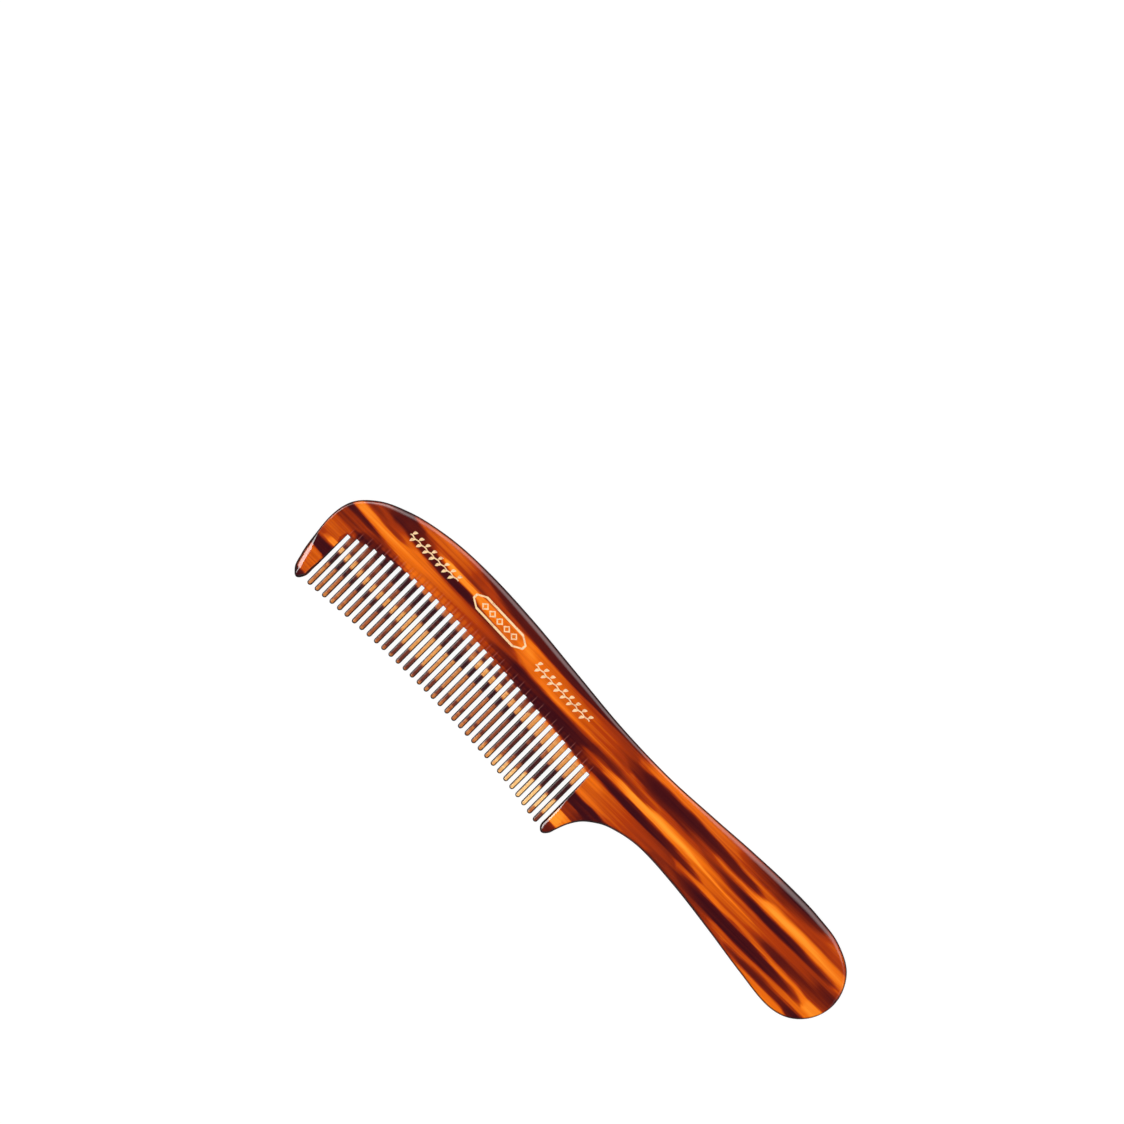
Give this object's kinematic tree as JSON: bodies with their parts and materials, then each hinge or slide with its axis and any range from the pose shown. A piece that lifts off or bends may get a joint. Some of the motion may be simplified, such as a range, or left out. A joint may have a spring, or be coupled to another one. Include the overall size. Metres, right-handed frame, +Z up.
{
  "type": "hair comb",
  "caption": "Flat handled dressing comb in tortoiseshell acetate: curved back, parallel sawn teeth between two guard teeth, and a palm-length handle.",
  "frame": {"origin": "on the plane of the underside, below the middle of the outline's bounding box", "axes": "+X along the comb from its head to the end of its handle, +Y towards the back so that the teeth point to -Y, +Z up out of the stamped face"},
  "size_m": [0.195, 0.041, 0.0041],
  "materials": {
    "tortoiseshell_acetate": "hand-polished amber and dark brown tortoiseshell cellulose acetate, streaked along the comb",
    "pale_gold_foil": "hot-stamped pale gold foil, satin"
  },
  "bodies": {
    "root": {"back_and_handle": "tortoiseshell_acetate", "guard_tooth_front": "tortoiseshell_acetate", "guard_tooth_rear": "tortoiseshell_acetate", "tooth_01": "tortoiseshell_acetate", "tooth_02": "tortoiseshell_acetate", "tooth_03": "tortoiseshell_acetate", "tooth_04": "tortoiseshell_acetate", "tooth_05": "tortoiseshell_acetate", "tooth_06": "tortoiseshell_acetate", "tooth_07": "tortoiseshell_acetate", "tooth_08": "tortoiseshell_acetate", "tooth_09": "tortoiseshell_acetate", "tooth_10": "tortoiseshell_acetate", "tooth_11": "tortoiseshell_acetate", "tooth_12": "tortoiseshell_acetate", "tooth_13": "tortoiseshell_acetate", "tooth_14": "tortoiseshell_acetate", "tooth_15": "tortoiseshell_acetate", "tooth_16": "tortoiseshell_acetate", "tooth_17": "tortoiseshell_acetate", "tooth_18": "tortoiseshell_acetate", "tooth_19": "tortoiseshell_acetate", "tooth_20": "tortoiseshell_acetate", "tooth_21": "tortoiseshell_acetate", "tooth_22": "tortoiseshell_acetate", "tooth_23": "tortoiseshell_acetate", "tooth_24": "tortoiseshell_acetate", "tooth_25": "tortoiseshell_acetate", "tooth_26": "tortoiseshell_acetate", "tooth_27": "tortoiseshell_acetate", "tooth_28": "tortoiseshell_acetate", "tooth_29": "tortoiseshell_acetate", "tooth_30": "tortoiseshell_acetate", "tooth_31": "tortoiseshell_acetate", "tooth_32": "tortoiseshell_acetate", "tooth_33": "tortoiseshell_acetate", "tooth_34": "tortoiseshell_acetate", "foil_mark_front": "pale_gold_foil", "foil_cartouche": "pale_gold_foil", "foil_emblem": "pale_gold_foil", "foil_mark_rear": "pale_gold_foil"}
  },
  "joints": []
}
